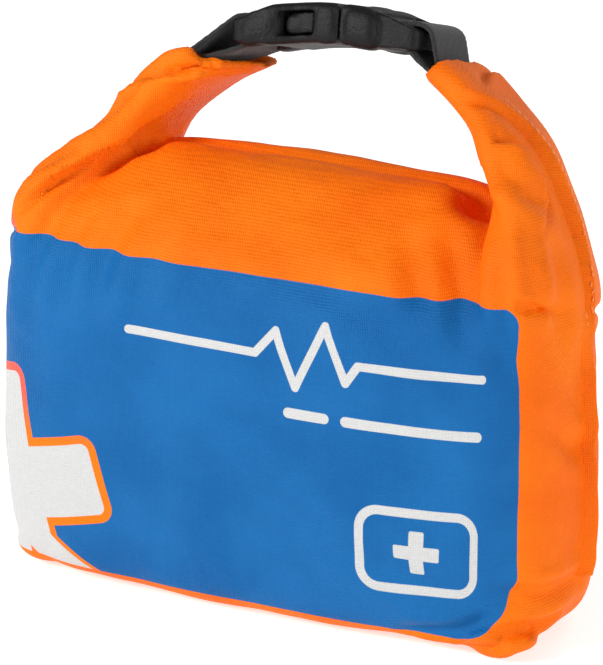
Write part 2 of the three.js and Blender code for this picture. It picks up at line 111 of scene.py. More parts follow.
def through(points, t):
    """A smooth curve through points of any dimension, t from 0 to 1."""
    last = len(points) - 1
    place = min(max(t, 0.0), 1.0) * last
    i = min(int(place), last - 1)
    f = place - i
    p0, p1, p2, p3 = (np.array(points[min(max(k, 0), last)], float) for k in (i - 1, i, i + 1, i + 2))
    squared = (2 * p0 - 5 * p1 + 4 * p2 - p3) * f * f
    cubed = (3 * p1 - p0 - 3 * p2 + p3) * f**3
    return 0.5 * (2 * p1 + (p2 - p0) * f + squared + cubed)


def add_tube(bm, at, around, along):
    """A closed tube in bm from a grid whose points are at(turn, t), turn from 0 to 2 pi, with closed ends."""
    made = bmesh.ops.create_grid(bm, x_segments=around, y_segments=along, size=1)["verts"]
    for v in made:
        v.co = at((v.co.x + 1) * math.pi, (v.co.y + 1) / 2)
    bmesh.ops.remove_doubles(bm, verts=made, dist=0.00002)
    rims = [e for e in bm.edges if e.is_boundary]
    bmesh.ops.holes_fill(bm, edges=rims, sides=0)


def add_lump(bm, middle, radii):
    """A closed ellipsoid in bm, in mm."""
    made = bmesh.ops.create_uvsphere(bm, u_segments=24, v_segments=14, radius=1)["verts"]
    bmesh.ops.scale(bm, vec=Vector(radii) * MM, verts=made)
    bmesh.ops.translate(bm, vec=Vector(middle) * MM, verts=made)


def rounded(turn, power):
    """The unit section, 2 for an ellipse and more for a boxier one."""
    c, s = math.cos(turn), math.sin(turn)
    return (math.copysign(abs(c) ** (2 / power), c), math.copysign(abs(s) ** (2 / power), s))


def eased(share):
    share = min(max(share, 0.0), 1.0)
    return share * share * (3 - 2 * share)


# ---------------------------------------------------------------- the stuffed bag
# Height, half width, half depth, middle's set-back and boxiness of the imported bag, in mm.
BAG = [
    (0.5, 61, 19, 0, 3.2),
    (2.4, 69, 25, 0, 3.3),
    (8, 73.4, 29, 0, 3.3),
    (22, 75, 30.6, 0, 3.3),
    (45, 75, 31, 0, 3.2),
    (66, 74.6, 30.6, 0, 3.1),
    (80, 73.5, 28.6, 0, 3.0),
    (90, 69, 24.5, 0.4, 2.8),
    (97, 60, 18.5, 1.2, 2.6),
    (102.5, 51, 12.5, 2, 2.4),
    (106.5, 46, 7, 3, 2.2),
    (108.4, 40, 2.4, 4, 2.0),
]
BOXIER_LEFT = 1.3  # its left corners are that much squarer
# Middle, half width and half thickness along each arm, in mm, from inside the bag to the cuff.
RIGHT_ARM = [
    (60, 1, 58, 19, 4.5),
    (62.5, 1, 70, 23, 7),
    (63.5, 2, 83.5, 25, 9),
    (61.6, 4.5, 94.5, 23, 8.2),
    (58.8, 8, 104, 20, 6.8),
    (54.4, 11.6, 113, 18, 5.4),
    (47.6, 15, 121.2, 16.6, 4.6),
    (39.5, 17.6, 127.8, 15.6, 4.4),
    (31, 19.6, 132.4, 14.8, 4.4),
]
LEFT_ARM = [
    (-60, 0, 54, 19, 4.5),
    (-63, 0, 65.5, 23, 7),
    (-65, 2, 79.5, 25, 9),
    (-63.8, 4.5, 90.6, 23.5, 8.6),
    (-58.2, 8, 98.8, 20, 6.4),
    (-51.4, 11, 106.4, 17.4, 5),
    (-45.6, 13.6, 115.4, 15.8, 4.6),
    (-36.5, 16.4, 122.8, 15, 4.8),
    (-27.5, 18.4, 128, 14.6, 4.8),
]
# The share of the tube's skin that is outside, the cloth at the mouth in mm, and how far in the mouth goes.
CUFF = {"rim": 0.84, "wall": 2.3, "depth": 0.15}


def bag_point(turn, t):
    z, wide, deep, back, power = through(BAG, t)
    power += BOXIER_LEFT * eased((-math.cos(turn) + 0.4) / 0.8)
    c, s = rounded(turn, power)
    return Vector((wide * c, back + deep * s, z)) * MM


def arm_point(stations, rear_reach, under_reach):
    """An arm's skin: out to the cuff's rim, then back in, round its open mouth. The reaches are how far the
    rim's rear and underside stand out past its middle, in mm."""

    def at(turn, t):
        run = min(t / CUFF["rim"], 1.0)
        inside = max(t / CUFF["rim"] - 1.0, 0.0) / (1 / CUFF["rim"] - 1.0)
        place = run - inside * CUFF["depth"]
        x, y, z, wide, thick = through(stations, place)
        ahead, behind = through(stations, place + 0.02), through(stations, place - 0.02)
        along = Vector((ahead - behind)[:3]).normalized()
        out = along.cross(ACROSS).normalized()
        out = -out if out.z < 0 else out
        c, s = rounded(turn, 2.7)
        wall = CUFF["wall"] * eased(inside * 6)
        reach = (rear_reach * c - under_reach * s) * eased((place - 0.7) / 0.3)
        section = ACROSS * (wide - wall) * c + out * (thick - wall) * s
        return (Vector((x, y, z)) + section + along * reach) * MM

    return at


ROLL = {"middle": (21, 98.5), "slope": 0.7, "half_width": 12.5, "half_thickness": 4.4, "half_length": 56}


def roll_point(turn, t):
    """The rolled mouth behind the ridge, a flat band that runs from one arm to the other."""
    c, s = rounded(turn, 3)
    share = 2 * t - 1
    narrow = 1 - 0.25 * share**4
    a, b = ROLL["half_width"] * narrow * c, ROLL["half_thickness"] * narrow * s
    lean = (math.cos(ROLL["slope"]), math.sin(ROLL["slope"]))
    y = ROLL["middle"][0] + a * lean[0] + b * lean[1] - 5 * share**4
    z = ROLL["middle"][1] - a * lean[1] + b * lean[0] - 3 * share**4
    return Vector((ROLL["half_length"] * share, y, z)) * MM


STRIP = {"width": 0.55, "half_thickness": 0.45, "arm": (0.34, 0.85), "roll": 0.86}


def arm_strip_point(stations):
    """The flexible strip that stiffens the mouth, along the middle of an arm's roll."""

    def at(turn, t):
        place = STRIP["arm"][0] + (STRIP["arm"][1] - STRIP["arm"][0]) * t
        x, y, z, wide, _ = through(stations, place)
        ahead, behind = through(stations, place + 0.02), through(stations, place - 0.02)
        out = Vector((ahead - behind)[:3]).normalized().cross(ACROSS).normalized()
        c, s = rounded(turn, 4)
        section = ACROSS * wide * STRIP["width"] * c + out * STRIP["half_thickness"] * s
        return (Vector((x, y, z)) + section) * MM

    return at


def roll_strip_point(turn, t):
    """The same strip along the middle of the rolled mouth behind the ridge."""
    c, s = rounded(turn, 4)
    share = (2 * t - 1) * STRIP["roll"]
    a, b = ROLL["half_width"] * STRIP["width"] * (1 - 0.25 * share**4) * c, STRIP["half_thickness"] * s
    y = ROLL["middle"][0] + a * math.cos(ROLL["slope"]) + b * math.sin(ROLL["slope"]) - 5 * share**4
    z = ROLL["middle"][1] - a * math.sin(ROLL["slope"]) + b * math.cos(ROLL["slope"]) - 3 * share**4
    return Vector((ROLL["half_length"] * share, y, z)) * MM


def flexible_strip(name, at):
    bm = bmesh.new()
    add_tube(bm, at, 32, 40)
    bmesh.ops.recalc_face_normals(bm, faces=bm.faces)
    return piece(name, bm)


def soft_shell():
    bm = bmesh.new()
    add_tube(bm, bag_point, 96, 64)
    add_tube(bm, arm_point(RIGHT_ARM, 0, 1), 48, 56)
    add_tube(bm, arm_point(LEFT_ARM, 4, 4), 48, 56)
    add_tube(bm, roll_point, 36, 40)
    add_lump(bm, (62, -17, 5.2), (10, 8, 4.6))
    add_lump(bm, (-62, -16, 5.6), (10, 8, 5))
    return fused(bm, "soft_shell", 1.0, 7)


# Valleys pressed into the cloth: depth and half width in mm, then the points that each one runs through.
VALLEYS = [
    # the right arm's puckers and the pleat that runs down from it
    (1.1, 2.6, [(53, -5, 124), (55, -5, 120), (57, -5, 116), (60, -4, 112), (62, -1, 108)]),
    (1.3, 3.0, [(50, -3, 113), (55, -9, 109), (59, -15, 104), (62, -20, 98), (65, -23, 88), (66, -24, 76)]),
    (0.9, 3.0, [(61, -8, 110), (64, -12, 104), (67, -16, 96), (70, -18, 86)]),
    (0.7, 3.2, [(70, -4, 98), (72, -6, 88), (74, -8, 76)]),
    # the left arm: its slit, and the creases that run down to the shoulder
    (1.7, 1.3, [(-50, 3, 122), (-45, 3, 125.5), (-39, 3, 128), (-33, 3, 129), (-28, 4, 129.5)]),
    (1.0, 1.8, [(-57, -8, 107), (-64, -11, 102), (-69, -12, 97), (-72, -14, 90)]),
    (0.8, 1.8, [(-58, -4, 112), (-52, -2, 118), (-46, 0, 122)]),
    (0.7, 2.2, [(-70, -9, 95), (-73, -12, 86), (-73, -16, 78)]),
    # soft folds that fan out over the face
    (1.1, 3.0, [(-58, -22, 94), (-61, -25, 86), (-62, -26, 72)]),
    (1.0, 3.2, [(-49, -21, 95), (-52, -26, 86), (-52, -29, 74)]),
    (1.0, 3.4, [(-38, -20, 97), (-41, -26, 89), (-42, -30, 78)]),
    (0.5, 3.2, [(-26, -24, 92), (-29, -28, 84), (-30, -30, 76)]),
    (1.3, 3.0, [(44, -11, 103), (49, -18, 98), (53, -23, 91), (55, -26, 82)]),
    (1.0, 3.0, [(36, -14, 101), (41, -21, 95), (45, -25, 88)]),
    (0.5, 4.0, [(8, -24, 93), (22, -26, 88), (40, -28, 80), (56, -26, 70)]),
    (0.5, 4.0, [(-20, -30, 60), (0, -31, 50), (22, -31, 44)]),
    (0.6, 3.6, [(30, -30, 24), (46, -29, 19), (60, -25, 16)]),
    # the right side's tucks
    (1.3, 2.2, [(66, -24, 17), (71, -18, 17), (74.5, -9, 16), (75.5, 2, 15)]),
    (1.0, 1.8, [(42, -27, 5), (54, -27, 7), (62, -25, 11)]),
    (1.2, 1.6, [(56, -25, 2), (64, -22, 5), (70, -16, 7), (73, -8, 8)]),
    (0.8, 3.0, [(74, 10, 62), (74, 16, 48), (73, 20, 34)]),
    (0.7, 2.6, [(73, -14, 60), (74.5, -6, 52), (75, 3, 48)]),
    # the back: folds under the roll and down its middle
    (0.9, 3.0, [(-46, 27, 84), (-40, 30, 74), (-38, 31, 60)]),
    (0.9, 3.0, [(44, 27, 86), (40, 30, 74), (42, 31, 58)]),
    (0.6, 4.0, [(-20, 31, 66), (4, 31, 58), (30, 31, 62)]),
    (0.7, 3.4, [(-66, 22, 70), (-60, 27, 58), (-56, 29, 42)]),
    (0.7, 3.4, [(64, 24, 40), (58, 28, 28), (40, 30, 20)]),
    (0.8, 2.6, [(-70, 14, 30), (-66, 22, 18), (-56, 28, 12)]),
]
# Where one layer of the roll lies over the next: the step's height in mm, then its line. Seen from outside,
# the upper layer is on the right of the way that the line runs.
LAYERS = [
    (
        1.5,
        [
            (75, 9, 78),
            (71.5, 11, 91),
            (67.4, 13, 100.6),
            (61, 13, 113),
            (55.5, 12, 123),
            (50.4, 8, 129),
            (44, 1, 134),
        ],
    ),
    (1.5, [(53, -5, 126), (55.4, 1, 122), (59, 3, 118), (62.5, 3, 113.7), (64.4, 2, 109), (64, -3, 105.5)]),
    (0.9, [(44, 14, 134), (40, 22, 133), (38, 31, 129)]),
    (
        2.2,
        [
            (-37, 8, 116.5),
            (-44, 1, 112),
            (-50, -5, 108.5),
            (-55, -10, 105),
            (-61, -15, 100.5),
            (-66, -18, 96),
        ],
    ),
    (
        1.4,
        [
            (-21, 20, 127),
            (-22, 14, 127.7),
            (-25, 8, 129),
            (-30, 4, 129.5),
            (-34, 3, 129),
            (-45, 1, 127),
            (-53, -2, 121),
        ],
    ),
    (1.2, [(-52, 26, 84), (-30, 30, 89), (0, 31, 91), (30, 30, 90), (54, 26, 86)]),
    (1.1, [(-50, 20, 103), (-30, 21, 104.5), (0, 21.5, 105), (30, 21, 104.5), (52, 19, 105)]),
    (1.1, [(56, 29, 92), (52, 31, 104), (44, 32, 114), (36, 33, 122)]),
    (1.1, [(-34, 33, 120), (-42, 32, 112), (-50, 30, 102), (-55, 28, 90)]),
]
# Hollows: depth and radius in mm, then the middle.
HOLLOWS = [
    (6.0, 5.0, (45, 3, 106)),
    (3.0, 5.0, (50, 8, 105)),
    (4.0, 4.5, (-45, 3, 109)),
    (3.0, 4.0, (-52, -2, 105)),
]
# How much deeper than written the valleys and layers are pressed, as the fused skin softens them.
DEEPER = 1.5
FLOOR_GAP = 0.3  # the lowest that the cloth reaches, in mm
# Slow swells and small dents over all of the cloth: size and height in mm, and a seed.
SWELLS = ((26, 0.9, 3), (10, 0.3, 11))


def step_shape(gap, height):
    """The push of one layer's edge, gap mm to the upper side of it: a lip above, a groove below."""
    lip = height * np.clip(gap + 0.5, 0, 1) * np.exp(-np.maximum(gap, 0) / 6)
    groove = 0.8 * height * np.exp(-(((gap + 0.9) / 1.1) ** 2))
    return lip - groove


def soften(shell):
    """Presses the valleys, layers, hollows and slow undulations of packed cloth into the shell."""
    mesh = shell.data
    count = len(mesh.vertices)
    points, normals = np.zeros(count * 3), np.zeros(count * 3)
    mesh.vertices.foreach_get("co", points)
    mesh.vertices.foreach_get("normal", normals)
    points, normals = points.reshape(-1, 3) / MM, normals.reshape(-1, 3)
    push = np.zeros(count)

    def reach(line, limit):
        """The vertices near a line on the skin: which, how far along, and their offset from it."""
        rough = [Vector(through(line, t)) * MM for t in np.linspace(0, 1, SAMPLES)]
        path = np.array([shell.closest_point_on_mesh(p)[1] for p in rough]) / MM
        low, high = path.min(0) - limit, path.max(0) + limit
        near = np.flatnonzero(((points > low) & (points < high)).all(1))
        gaps = np.linalg.norm(points[near, None] - path[None], axis=2)
        nearest = gaps.argmin(axis=1)
        tangents = np.gradient(path, axis=0)
        tangents /= np.linalg.norm(tangents, axis=1)[:, None] + 1e-9
        taper = np.sin(np.pi * np.clip(nearest / (SAMPLES - 1) * 0.9 + 0.05, 0, 1)) ** 0.5
        return near, gaps.min(axis=1), taper, points[near] - path[nearest], tangents[nearest]

    for depth, width, line in VALLEYS:
        near, gap, taper, _, _ = reach(line, 4 * width)
        push[near] -= DEEPER * depth * taper * np.exp(-((gap / width) ** 2))
        push[near] += DEEPER * 0.5 * depth * taper * np.exp(-(((gap - 2.1 * width) / width) ** 2))
    for height, line in LAYERS:
        near, gap, taper, offset, tangent = reach(line, 14)
        sideways = (offset * np.cross(tangent, normals[near])).sum(axis=1)
        fade = np.exp(-((np.abs(offset * normals[near]).sum(axis=1) / 9) ** 2))
        close = np.exp(-((np.maximum(gap - np.abs(sideways), 0) / 3) ** 2))
        push[near] += DEEPER * step_shape(sideways, height) * taper * close * np.maximum(fade, 0.4)
    for depth, radius, middle in HOLLOWS:
        gap = np.linalg.norm(points - np.array(middle), axis=1)
        push -= depth * np.exp(-((gap / radius) ** 2))
    for scale, height, seed in SWELLS:
        push += height * np.array([noise.noise(Vector(p) / scale + Vector((seed, 0, 0))) for p in points])
    points += normals * push[:, None]
    points[:, 2] = np.maximum(points[:, 2], FLOOR_GAP)
    mesh.vertices.foreach_set("co", (points * MM).ravel())
    mesh.update()


def print_place(p):
    """Across and up on the flattened face, in metres: across runs round the bag's corners."""
    corner, flat_x, flat_y = 0.020, 0.055, 0.010
    side = 1 if p.x >= 0 else -1
    x, y = abs(p.x), p.y
    if x <= flat_x and y < 0:
        across = x
    elif y <= -flat_y:
        across = flat_x + corner * math.atan2(x - flat_x, -flat_y - y)
    elif x >= flat_x:
        across = flat_x + corner * math.pi / 2 + y + flat_y
    else:
        across = 0.13 + (flat_x - x)
    return side * across, p.z


def map_print(cloth):
    layer = cloth.data.uv_layers.new(name="face_print")
    places = [print_place(v.co) for v in cloth.data.vertices]
    for face in cloth.data.polygons:
        across = [places[v][0] for v in face.vertices]
        # The two ways round the bag meet behind it: a face there keeps to one of them.
        behind = max(across) - min(across) > 0.1
        for corner in face.loop_indices:
            u, v = places[cloth.data.loops[corner].vertex_index]
            layer.data[corner].uv = (abs(u) if behind else u, v)


def cut_off(shell, name, start, end):
    """Takes the arm beyond start off the shell, as a piece of its own with the same edge."""
    way = (end - start).normalized()
    parts = []
    for keep_arm in (True, False):
        bm = bmesh.new()
        bm.from_mesh(shell.data)
        bmesh.ops.bisect_plane(bm, geom=bm.verts[:] + bm.edges[:] + bm.faces[:], plane_co=start, plane_no=way)
        gone = [f for f in bm.faces if ((f.calc_center_median() - start).dot(way) > 0) != keep_arm]
        bmesh.ops.delete(bm, geom=gone, context="FACES")
        parts.append(bm)
    arm_bm, rest_bm = parts
    rest_bm.to_mesh(shell.data)
    rest_bm.free()
    shell.data.shade_smooth()
    return piece(name, arm_bm)


# ---------------------------------------------------------------- seams and stitches
FLANGE = {"from": 15, "to": 84, "width": 4.0, "thickness": 1.5, "y": 2}


def side_flange(shell, name, side):
    """The welded seam allowance that stands out of a side, square at its foot and fading at its top."""
    bm = bmesh.new()
    made = bmesh.ops.create_grid(bm, x_segments=4, y_segments=46, size=1)["verts"]
    for v in made:
        out, up = (v.co.x + 1) / 2, (v.co.y + 1) / 2
        z = (FLANGE["from"] + (FLANGE["to"] - FLANGE["from"]) * up) * MM
        y = (FLANGE["y"] + 2.2 * out + 0.7 * math.sin(up * 9) * out) * MM
        skin = shell.ray_cast(Vector((side * OUTSIDE, y, z)), Vector((-side, 0, 0)))[1]
        width = FLANGE["width"] * (1 - up**5) * MM
        v.co = Vector((skin.x + side * (out * width - 0.0012), y, z))
    bmesh.ops.recalc_face_normals(bm, faces=bm.faces)
    fin = piece("raw_flange", bm)
    wall = fin.modifiers.new("Solidify", "SOLIDIFY")
    wall.thickness = FLANGE["thickness"] * MM
    wall.offset = 0
    rim = fin.modifiers.new("Bevel", "BEVEL")
    rim.width = 0.4 * MM
    rim.segments = 2
    rim.limit_method = "ANGLE"
    return modified(fin, name)


def add_stitch(bm, place, along, normal, length, thick):
    """One thread of a seam, a short capsule that lies on the cloth."""
    made = bmesh.ops.create_uvsphere(bm, u_segments=8, v_segments=6, radius=1)["verts"]
    across = normal.cross(along).normalized()
    for v in made:
        p = v.co.copy()
        v.co = place + along * p.x * length / 2 * MM
        v.co += across * p.y * thick / 2 * MM + normal * p.z * thick / 2 * MM


def stitch_line(surface, name, line, pitch=2.1, length=1.5, thick=0.5):
    """A row of stitches laid on a surface along a line."""
    bm = bmesh.new()
    dense = [Vector(through(line, t)) * MM for t in np.linspace(0, 1, 200)]
    seated = [surface.closest_point_on_mesh(p)[1:3] for p in dense]
    travelled, due = 0.0, 0.0
    for (here, normal), (ahead, _) in zip(seated, seated[1:]):
        if travelled >= due:
            along = (ahead - here).normalized()
            add_stitch(bm, here + normal * 0.08 * MM, along, normal, length, thick)
            due += pitch * MM
        travelled += (ahead - here).length
    bmesh.ops.recalc_face_normals(bm, faces=bm.faces)
    return piece(name, bm)


# ---------------------------------------------------------------- buckle and webbing
BOW = {"sag": 3, "drop": 1, "half": 24}  # how far the buckle's ends and all of it hang below the flat one


def bowed(p):
    """A point of the flat buckle where the bowed one has it."""
    along = abs((p - BUCKLE_MIDDLE).dot(ALONG)) / MM
    if along < BOW["half"]:
        lift = -BOW["sag"] * (along / BOW["half"]) ** 2 - BOW["drop"]
    else:
        lift = -BOW["sag"] - BOW["drop"]
    return p + OUTWARDS * lift * MM


def handle_point(along, across, out):
    """A point given in mm from the buckle's middle."""
    return BUCKLE_MIDDLE + (ALONG * along + ACROSS * across + OUTWARDS * out) * MM


def add_pad(bm, middle, radii, power=3):
    """A closed rounded block in the handle's directions, in mm from the buckle's middle."""

    def at(turn, t):
        c, s = rounded(turn, power)
        rise = 2 * t - 1
        shrink = max(1 - abs(rise) ** 4, 0.02) ** 0.5
        x, y, z = (m + r * k for m, r, k in zip(middle, radii, (rise, c * shrink, s * shrink)))
        return handle_point(x, y, z)

    add_tube(bm, at, 24, 16)


def moulded(node, voxel, rounds, pads=()):
    """A CAD node's shape with its edges rounded, bowed with the buckle, and raised pads grown onto it."""
    bm = bmesh.new()
    bm.from_mesh(frame["nodes"][node].data)
    bmesh.ops.remove_doubles(bm, verts=bm.verts[:], dist=0.00001)
    for middle, radii in pads:
        add_pad(bm, middle, radii)
    long_edges = [e for e in bm.edges if e.calc_length() > 0.004]
    bmesh.ops.subdivide_edges(bm, edges=long_edges, cuts=5)
    for v in bm.verts:
        v.co = bowed(v.co)
    made = fused(bm, node + "_moulded", voxel, rounds)
    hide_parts(node)
    return made


# ---------------------------------------------------------------- shader maths
class Value:
    """A number that may vary over a surface: Python operators on it add Math nodes."""

    def __init__(self, finish, socket):
        self.finish, self.socket = finish, socket

    def math(self, operation, *items):
        sockets = dict(enumerate(items))
        made = self.finish.node("ShaderNodeMath", {"operation": operation}, sockets)
        return Value(self.finish, made.outputs[0])

    def __add__(self, other):
        return self.math("ADD", self, other)

    def __sub__(self, other):
        return self.math("SUBTRACT", self, other)

    def __mul__(self, other):
        return self.math("MULTIPLY", self, other)

    def __pow__(self, other):
        return self.math("POWER", self, other)

    def __rsub__(self, other):
        return self.math("SUBTRACT", other, self)

    __radd__, __rmul__ = __add__, __mul__

    def sine(self):
        return self.math("SINE", self)

    def size(self):
        return self.math("ABSOLUTE", self)

    def least(self, other):
        return self.math("MINIMUM", self, other)

    def most(self, other):
        return self.math("MAXIMUM", self, other)

    def step(self, low, high):
        """0 below low, 1 above high, smooth between."""
        sockets = {"Value": self, "From Min": low, "From Max": high}
        made = self.finish.node("ShaderNodeMapRange", {"interpolation_type": "SMOOTHSTEP"}, sockets)
        return Value(self.finish, made.outputs["Result"])


class Finish:
    """A procedural material, with the few helpers that build its nodes."""

    def __init__(self, name, **constants):
        self.material = bpy.data.materials.new(name)
        self.material.use_nodes = True
        self.tree = self.material.node_tree
        self.shader = self.tree.nodes["Principled BSDF"]
        for socket, value in constants.items():
            self.shader.inputs[socket.replace("_", " ")].default_value = value
        self.place = self.node("ShaderNodeTexCoord").outputs["Object"]

    def node(self, kind, settings=None, sockets=None):
        """A node of that kind, with its settings set first, then its sockets' values or links."""
        node = self.tree.nodes.new(kind)
        for key, value in (settings or {}).items():
            setattr(node, key, value)
        for key, value in (sockets or {}).items():
            self.feed(node.inputs[key], value)
        return node

    def feed(self, socket, value):
        if isinstance(value, Value):
            self.tree.links.new(value.socket, socket)
        elif isinstance(value, bpy.types.NodeSocket):
            self.tree.links.new(value, socket)
        elif isinstance(value, tuple) and socket.type == "RGBA":
            socket.default_value = (*value, 1)
        else:
            socket.default_value = value

    def axes(self, vector=None):
        split = self.node("ShaderNodeSeparateXYZ", None, {"Vector": vector or self.place})
        return [Value(self, split.outputs[k]) for k in "XYZ"]

    def noise(self, scale, detail=2, roughness=0.5):
        sockets = {"Vector": self.place, "Scale": scale, "Detail": detail, "Roughness": roughness}
        return Value(self, self.node("ShaderNodeTexNoise", None, sockets).outputs["Fac"])

    def mix(self, factor, low, high):
        """The colour low where factor is 0, and high where it is 1."""
        return self.node("ShaderNodeMix", {"data_type": "RGBA"}, {0: factor, 6: low, 7: high}).outputs[2]

    def bump(self, height, distance, strength, under=None):
        sockets = {"Height": height, "Distance": distance, "Strength": strength}
        if under is not None:
            sockets["Normal"] = under
        return self.node("ShaderNodeBump", None, sockets).outputs["Normal"]

    def wear(self, **sockets):
        for key, value in sockets.items():
            self.feed(self.shader.inputs[key.replace("_", " ")], value)
        return self.material


ORANGE = (0.95, 0.185, 0.004)
ORANGE_DEEP = (0.88, 0.140, 0.002)
BLUE = (0.009, 0.135, 0.385)
BLUE_DEEP = (0.004, 0.105, 0.325)
WHITE = (0.60, 0.60, 0.59)
CORAL = (1.0, 0.12, 0.085)
THREAD = (1.0, 0.42, 0.10)
THREAD_PITCH = 1.25  # in mm
EDGE = 0.12  # half the width of a printed edge, in mm
SEAM = (-98.5, -98.3)  # where the print ends at the left side seam, in mm round the bag


def rounded_box(x, z, middle, half, radius):
    """How far a point lies outside a rounded rectangle, below 0 inside it."""
    dx = (x - middle[0]).size() - (half[0] - radius)
    dz = (z - middle[1]).size() - (half[1] - radius)
    outside = (dx.most(0) * dx.most(0) + dz.most(0) * dz.most(0)) ** 0.5
    return outside + dx.most(dz).least(0) - radius


def turned(x, z, middle, degrees):
    c, s = math.cos(math.radians(degrees)), math.sin(math.radians(degrees))
    dx, dz = x - middle[0], z - middle[1]
    return dx * c + dz * s, dz * c - dx * s


def inked(distance):
    return 1 - distance.step(-EDGE, EDGE)


def pulse_mark(x, z):
    """A pulse line: flat, then a few tall strokes up and down, then flat again."""
    level, half = 71.6, 1.05
    points = [(-32, level), (3, level), (8, level + 6), (14, level - 7), (21, level + 9), (27, level - 4)]
    points += [(30, level + 0.6), (62, level + 0.6)]
    away = None
    for start, end in zip(points, points[1:]):
        length = math.hypot(end[0] - start[0], end[1] - start[1])
        angle = math.degrees(math.atan2(end[1] - start[1], end[0] - start[0]))
        u, w = turned(x, z, ((start[0] + end[0]) / 2, (start[1] + end[1]) / 2), angle)
        stroke = rounded_box(u, w, (0, 0), (length / 2 + half, half), half)
        away = stroke if away is None else away.least(stroke)
    return away


def bar_mark(x, z):
    long_bar = rounded_box(x, z, (44, 58), (18, 1.3), 1.3)
    return long_bar.least(rounded_box(x, z, (17, 58), (6, 1.3), 1.3))


def frame_mark(x, z):
    """A small cross in a rounded frame."""
    middle = (45.5, 27)
    outline = rounded_box(x, z, middle, (14.5, 10), 5).size() - 1.15
    upright = rounded_box(x, z, middle, (1.8, 5.6), 0.5)
    return outline.least(upright).least(rounded_box(x, z, middle, (5.6, 1.8), 0.5))


def print_face(cloth, colour, blotch):
    """The print on the bag's face over its own colour: the colour with it, and where its ink lies."""
    uv = cloth.node("ShaderNodeUVMap", {"uv_map": "face_print"}).outputs["UV"]
    x, z, _ = cloth.axes(uv)
    x, z = x * 1000, z * 1000
    # The panel's top edge rises to the right, and its lower right corner is cut in a wide curve.
    panel = rounded_box(x, z - x * 0.004, (-60, 46.6), (133, 42.2), 4)
    panel = inked(panel.most(rounded_box(x, z, (-60, 77.5), (133, 72.6), 20))) * x.step(*SEAM)
    # The first aid cross, turned a little, at the left end, its foot drawn out along the bottom.
    cx, cz = turned(x - (12.5 - z).most(0) * 1.27, z, (-69, 23.5), 15)
    cross = rounded_box(cx, cz, (0, 0), (9.4, 28.6), 2.2).least(rounded_box(cx, cz, (0, 0), (28.6, 9.4), 2.2))
    cross = cross.least(rounded_box(x, z, (-84, 6), (17, 16), 3))
    marks = pulse_mark(x, z).least(frame_mark(x, z)).least(bar_mark(x, z))
    white = inked(cross.least(marks)) * panel
    rim = inked(cross - 2.2) * panel
    # A coral sliver of the print shows above the panel's left end.
    sliver = inked(rounded_box(x, z + x * 0.55, (-88, 41.5), (30, 8), 1)) * x.step(-62, -64) * x.step(*SEAM)
    colour = cloth.mix(sliver, colour, CORAL)
    colour = cloth.mix(panel, colour, cloth.mix(blotch.step(0.3, 0.7), BLUE_DEEP, BLUE))
    colour = cloth.mix(rim, colour, cloth.mix(z.step(37, 50), ORANGE, CORAL))
    return cloth.mix(white, colour, WHITE), panel


def cloth_finish(name, printed):
    """Coated woven cloth, with slack crinkles, its threads and, on the bag's face, the print."""
    cloth = Finish(name, Specular_IOR_Level=0.1)
    x, y, z = cloth.axes()
    pitch = 2 * math.pi * 1000 / THREAD_PITCH
    threads = ((x + z + y * 0.7) * pitch).sine() * ((x - z + y * 0.7) * pitch).sine() * 0.5 + 0.5
    blotch, slub = cloth.noise(34, 3), cloth.noise(700, 2)
    colour = cloth.mix(blotch.step(0.3, 0.7), ORANGE_DEEP, ORANGE)
    ink = 0
    if printed:
        colour, ink = print_face(cloth, colour, blotch)
    shade = 0.84 + threads * 0.13 + slub * 0.08
    colour = cloth.mix(1 - shade, colour, (0, 0, 0))
    roughness = 0.46 + blotch * 0.14 + threads * 0.06 - ink * 0.05
    crinkles = cloth.bump(cloth.noise(85, 4, 0.55), 0.003, 0.4)
    normal = cloth.bump(threads * 0.6 + slub * 0.4, 0.0002, 1.0, crinkles)
    return cloth.wear(Base_Color=colour, Roughness=roughness, Normal=normal)


def thread_finish():
    thread = Finish("stitching_thread", Sheen_Weight=0.2)
    x, y, z = thread.axes()
    ply = ((x + y + z) * (2 * math.pi * 1000 / 0.4)).sine() * 0.5 + 0.5
    colour = thread.mix(ply, ORANGE, THREAD)
    return thread.wear(Base_Color=colour, Roughness=0.5 + ply * 0.2, Normal=thread.bump(ply, 0.0001, 0.7))


def moulded_plastic():
    nylon = Finish("black_nylon", Specular_IOR_Level=0.2)
    grain, patches = nylon.noise(1500, 3), nylon.noise(120, 4)
    geometry = nylon.node("ShaderNodeNewGeometry")
    # The convex edges are painted lighter in patches, which is a painted highlight; elsewhere the tone varies at
    # random.
    edge = Value(nylon, geometry.outputs["Pointiness"]).step(0.53, 0.62)
    edge_highlight = edge * patches.step(0.4, 0.65)
    colour = nylon.mix(patches, (0.004, 0.004, 0.0045), (0.008, 0.008, 0.009))
    colour = nylon.mix(edge_highlight * 0.5, colour, (0.05, 0.05, 0.053))
    normal = nylon.bump(grain, 0.00022, 0.85)
    return nylon.wear(Base_Color=colour, Roughness=0.42 + patches * 0.2, Normal=normal)


def woven_tape(name, dark, light, pitch=0.9):
    tape = Finish(name, Sheen_Weight=0.15)
    x, y, z = tape.axes()
    ribs = ((x + z) * (2 * math.pi * 1000 / pitch)).sine() * (y * (2 * math.pi * 1000 / pitch)).sine()
    fuzz = tape.noise(900, 3)
    height = (ribs * 0.5 + 0.5) * 0.5 + fuzz * 0.3
    colour = tape.mix(height, dark, light)
    return tape.wear(Base_Color=colour, Roughness=0.7 + fuzz * 0.2, Normal=tape.bump(height, 0.00035, 0.8))


def plain_finish(name, low, high, scale, roughness, depth=0.0003, **constants):
    """A finish mottled between two colours, with a grain of that scale."""
    made = Finish(name, **constants)
    mottle, grain = made.noise(scale * 0.15, 3), made.noise(scale, 3)
    colour = made.mix(mottle.step(0.3, 0.7), low, high)
    normal = made.bump(grain, depth, 0.6)
    return made.wear(Base_Color=colour, Roughness=roughness + grain * 0.12, Normal=normal)


